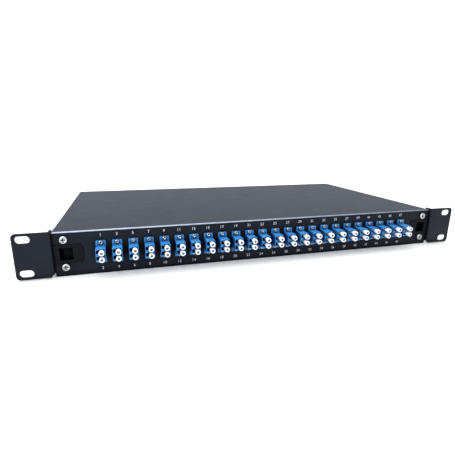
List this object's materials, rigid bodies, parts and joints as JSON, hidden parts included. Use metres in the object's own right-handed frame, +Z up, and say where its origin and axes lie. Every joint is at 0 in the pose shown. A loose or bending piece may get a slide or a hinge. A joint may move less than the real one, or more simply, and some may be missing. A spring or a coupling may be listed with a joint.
{
  "type": "fibre patch panel",
  "caption": "Rack-width fibre patch panel: a pull-out drawer with blue duplex adapters and white dust caps, side latches, rack ears and a steel casing.",
  "frame": {"origin": "centre of the rack mounting plane: the back face of the ears, midway between the slots", "axes": "+X to the right seen from the front, +Y towards the back of the rack, +Z up"},
  "size_m": [0.4826, 0.2695, 0.044],
  "materials": {
    "black_powder_coat": "fine-texture powder coat, satin",
    "ear_powder_coat": "fine-texture powder coat, satin",
    "cover_powder_coat": "fine-texture powder coat, semi-matt",
    "zinc_steel": "bright zinc plated",
    "bright_screw": "nickel plated",
    "black_abs": "moulded, satin",
    "blue_pbt": "moulded, semi-gloss",
    "white_cap": "moulded, soft satin",
    "zirconia": "ground and polished",
    "black_nylon": "moulded, satin",
    "black_rubber": "moulded",
    "grey_abs": "moulded, satin",
    "clear_lid": "clear moulded polycarbonate",
    "grey_rubber": "moulded",
    "spring_steel": "drawn wire"
  },
  "bodies": {
    "casing": {"casing_pan": "black_powder_coat", "top_cover": "cover_powder_coat", "rack_ear_left": "ear_powder_coat", "rack_ear_right": "ear_powder_coat", "ear_screws": "zinc_steel", "cover_screws": "zinc_steel", "cable_glands": "black_nylon", "gland_domes": "black_nylon", "gland_locknuts": "black_nylon", "gland_seals": "black_rubber", "blanking_plugs": "black_rubber", "earth_stud": "zinc_steel", "slide_outer_left": "zinc_steel", "slide_outer_right": "zinc_steel"},
    "drawer": {"front_panel": "black_powder_coat", "drawer_tray": "black_powder_coat", "panel_screws": "bright_screw", "adapters": "blue_pbt", "alignment_sleeves": "zirconia", "flange_screws": "bright_screw", "inner_dust_caps": "white_cap", "latch_housing_left": "black_abs", "latch_housing_right": "black_abs", "latch_spring_left": "spring_steel", "latch_spring_right": "spring_steel", "slide_inner_left": "zinc_steel", "slide_inner_right": "zinc_steel", "splice_tray": "grey_abs", "splice_comb": "grey_rubber", "splice_lid": "clear_lid", "fibre_spools": "black_abs", "tray_screws": "zinc_steel"},
    "ball_cage_left": {"slide_cage_left": "zinc_steel"},
    "ball_cage_right": {"slide_cage_right": "zinc_steel"},
    "latch_left": {"latch_left": "black_abs"},
    "latch_right": {"latch_right": "black_abs"},
    "cap_pair_01": {"port_cap_01": "white_cap"},
    "cap_pair_02": {"port_cap_02": "white_cap"},
    "cap_pair_03": {"port_cap_03": "white_cap"},
    "cap_pair_04": {"port_cap_04": "white_cap"},
    "cap_pair_05": {"port_cap_05": "white_cap"},
    "cap_pair_06": {"port_cap_06": "white_cap"},
    "cap_pair_07": {"port_cap_07": "white_cap"},
    "cap_pair_08": {"port_cap_08": "white_cap"},
    "cap_pair_09": {"port_cap_09": "white_cap"},
    "cap_pair_10": {"port_cap_10": "white_cap"},
    "cap_pair_11": {"port_cap_11": "white_cap"},
    "cap_pair_12": {"port_cap_12": "white_cap"},
    "cap_pair_13": {"port_cap_13": "white_cap"},
    "cap_pair_14": {"port_cap_14": "white_cap"},
    "cap_pair_15": {"port_cap_15": "white_cap"},
    "cap_pair_16": {"port_cap_16": "white_cap"},
    "cap_pair_17": {"port_cap_17": "white_cap"},
    "cap_pair_18": {"port_cap_18": "white_cap"},
    "cap_pair_19": {"port_cap_19": "white_cap"},
    "cap_pair_20": {"port_cap_20": "white_cap"},
    "cap_pair_21": {"port_cap_21": "white_cap"},
    "cap_pair_22": {"port_cap_22": "white_cap"},
    "cap_pair_23": {"port_cap_23": "white_cap"},
    "cap_pair_24": {"port_cap_24": "white_cap"}
  },
  "joints": [
    {"name": "drawer_slide", "type": "slide", "parent": "casing", "child": "drawer", "axis": [0, -1, 0], "range_m": [0, 0.145]},
    {"name": "latch_left_slide", "type": "slide", "parent": "drawer", "child": "latch_left", "axis": [1, 0, 0], "range_m": [0, 0.005], "stiffness_N_per_m": 250, "springref_m": -0.004, "deforming": ["latch_spring_left"]},
    {"name": "latch_right_slide", "type": "slide", "parent": "drawer", "child": "latch_right", "axis": [-1, 0, 0], "range_m": [0, 0.005], "stiffness_N_per_m": 250, "springref_m": -0.004, "deforming": ["latch_spring_right"]},
    {"name": "ball_cage_left_travel", "type": "slide", "parent": "casing", "child": "ball_cage_left", "axis": [0, -1, 0], "range_m": [0, 0.0725]},
    {"name": "ball_cage_right_travel", "type": "slide", "parent": "casing", "child": "ball_cage_right", "axis": [0, -1, 0], "range_m": [0, 0.0725]},
    {"name": "port_cap_01_pull", "type": "slide", "parent": "drawer", "child": "cap_pair_01", "axis": [0, -1, 0], "range_m": [0, 0.012]},
    {"name": "port_cap_02_pull", "type": "slide", "parent": "drawer", "child": "cap_pair_02", "axis": [0, -1, 0], "range_m": [0, 0.012]},
    {"name": "port_cap_03_pull", "type": "slide", "parent": "drawer", "child": "cap_pair_03", "axis": [0, -1, 0], "range_m": [0, 0.012]},
    {"name": "port_cap_04_pull", "type": "slide", "parent": "drawer", "child": "cap_pair_04", "axis": [0, -1, 0], "range_m": [0, 0.012]},
    {"name": "port_cap_05_pull", "type": "slide", "parent": "drawer", "child": "cap_pair_05", "axis": [0, -1, 0], "range_m": [0, 0.012]},
    {"name": "port_cap_06_pull", "type": "slide", "parent": "drawer", "child": "cap_pair_06", "axis": [0, -1, 0], "range_m": [0, 0.012]},
    {"name": "port_cap_07_pull", "type": "slide", "parent": "drawer", "child": "cap_pair_07", "axis": [0, -1, 0], "range_m": [0, 0.012]},
    {"name": "port_cap_08_pull", "type": "slide", "parent": "drawer", "child": "cap_pair_08", "axis": [0, -1, 0], "range_m": [0, 0.012]},
    {"name": "port_cap_09_pull", "type": "slide", "parent": "drawer", "child": "cap_pair_09", "axis": [0, -1, 0], "range_m": [0, 0.012]},
    {"name": "port_cap_10_pull", "type": "slide", "parent": "drawer", "child": "cap_pair_10", "axis": [0, -1, 0], "range_m": [0, 0.012]},
    {"name": "port_cap_11_pull", "type": "slide", "parent": "drawer", "child": "cap_pair_11", "axis": [0, -1, 0], "range_m": [0, 0.012]},
    {"name": "port_cap_12_pull", "type": "slide", "parent": "drawer", "child": "cap_pair_12", "axis": [0, -1, 0], "range_m": [0, 0.012]},
    {"name": "port_cap_13_pull", "type": "slide", "parent": "drawer", "child": "cap_pair_13", "axis": [0, -1, 0], "range_m": [0, 0.012]},
    {"name": "port_cap_14_pull", "type": "slide", "parent": "drawer", "child": "cap_pair_14", "axis": [0, -1, 0], "range_m": [0, 0.012]},
    {"name": "port_cap_15_pull", "type": "slide", "parent": "drawer", "child": "cap_pair_15", "axis": [0, -1, 0], "range_m": [0, 0.012]},
    {"name": "port_cap_16_pull", "type": "slide", "parent": "drawer", "child": "cap_pair_16", "axis": [0, -1, 0], "range_m": [0, 0.012]},
    {"name": "port_cap_17_pull", "type": "slide", "parent": "drawer", "child": "cap_pair_17", "axis": [0, -1, 0], "range_m": [0, 0.012]},
    {"name": "port_cap_18_pull", "type": "slide", "parent": "drawer", "child": "cap_pair_18", "axis": [0, -1, 0], "range_m": [0, 0.012]},
    {"name": "port_cap_19_pull", "type": "slide", "parent": "drawer", "child": "cap_pair_19", "axis": [0, -1, 0], "range_m": [0, 0.012]},
    {"name": "port_cap_20_pull", "type": "slide", "parent": "drawer", "child": "cap_pair_20", "axis": [0, -1, 0], "range_m": [0, 0.012]},
    {"name": "port_cap_21_pull", "type": "slide", "parent": "drawer", "child": "cap_pair_21", "axis": [0, -1, 0], "range_m": [0, 0.012]},
    {"name": "port_cap_22_pull", "type": "slide", "parent": "drawer", "child": "cap_pair_22", "axis": [0, -1, 0], "range_m": [0, 0.012]},
    {"name": "port_cap_23_pull", "type": "slide", "parent": "drawer", "child": "cap_pair_23", "axis": [0, -1, 0], "range_m": [0, 0.012]},
    {"name": "port_cap_24_pull", "type": "slide", "parent": "drawer", "child": "cap_pair_24", "axis": [0, -1, 0], "range_m": [0, 0.012]}
  ],
  "couplings": [
    {"joint": "ball_cage_left_travel", "follows": "drawer_slide", "ratio": 0.5},
    {"joint": "ball_cage_right_travel", "follows": "drawer_slide", "ratio": 0.5}
  ]
}
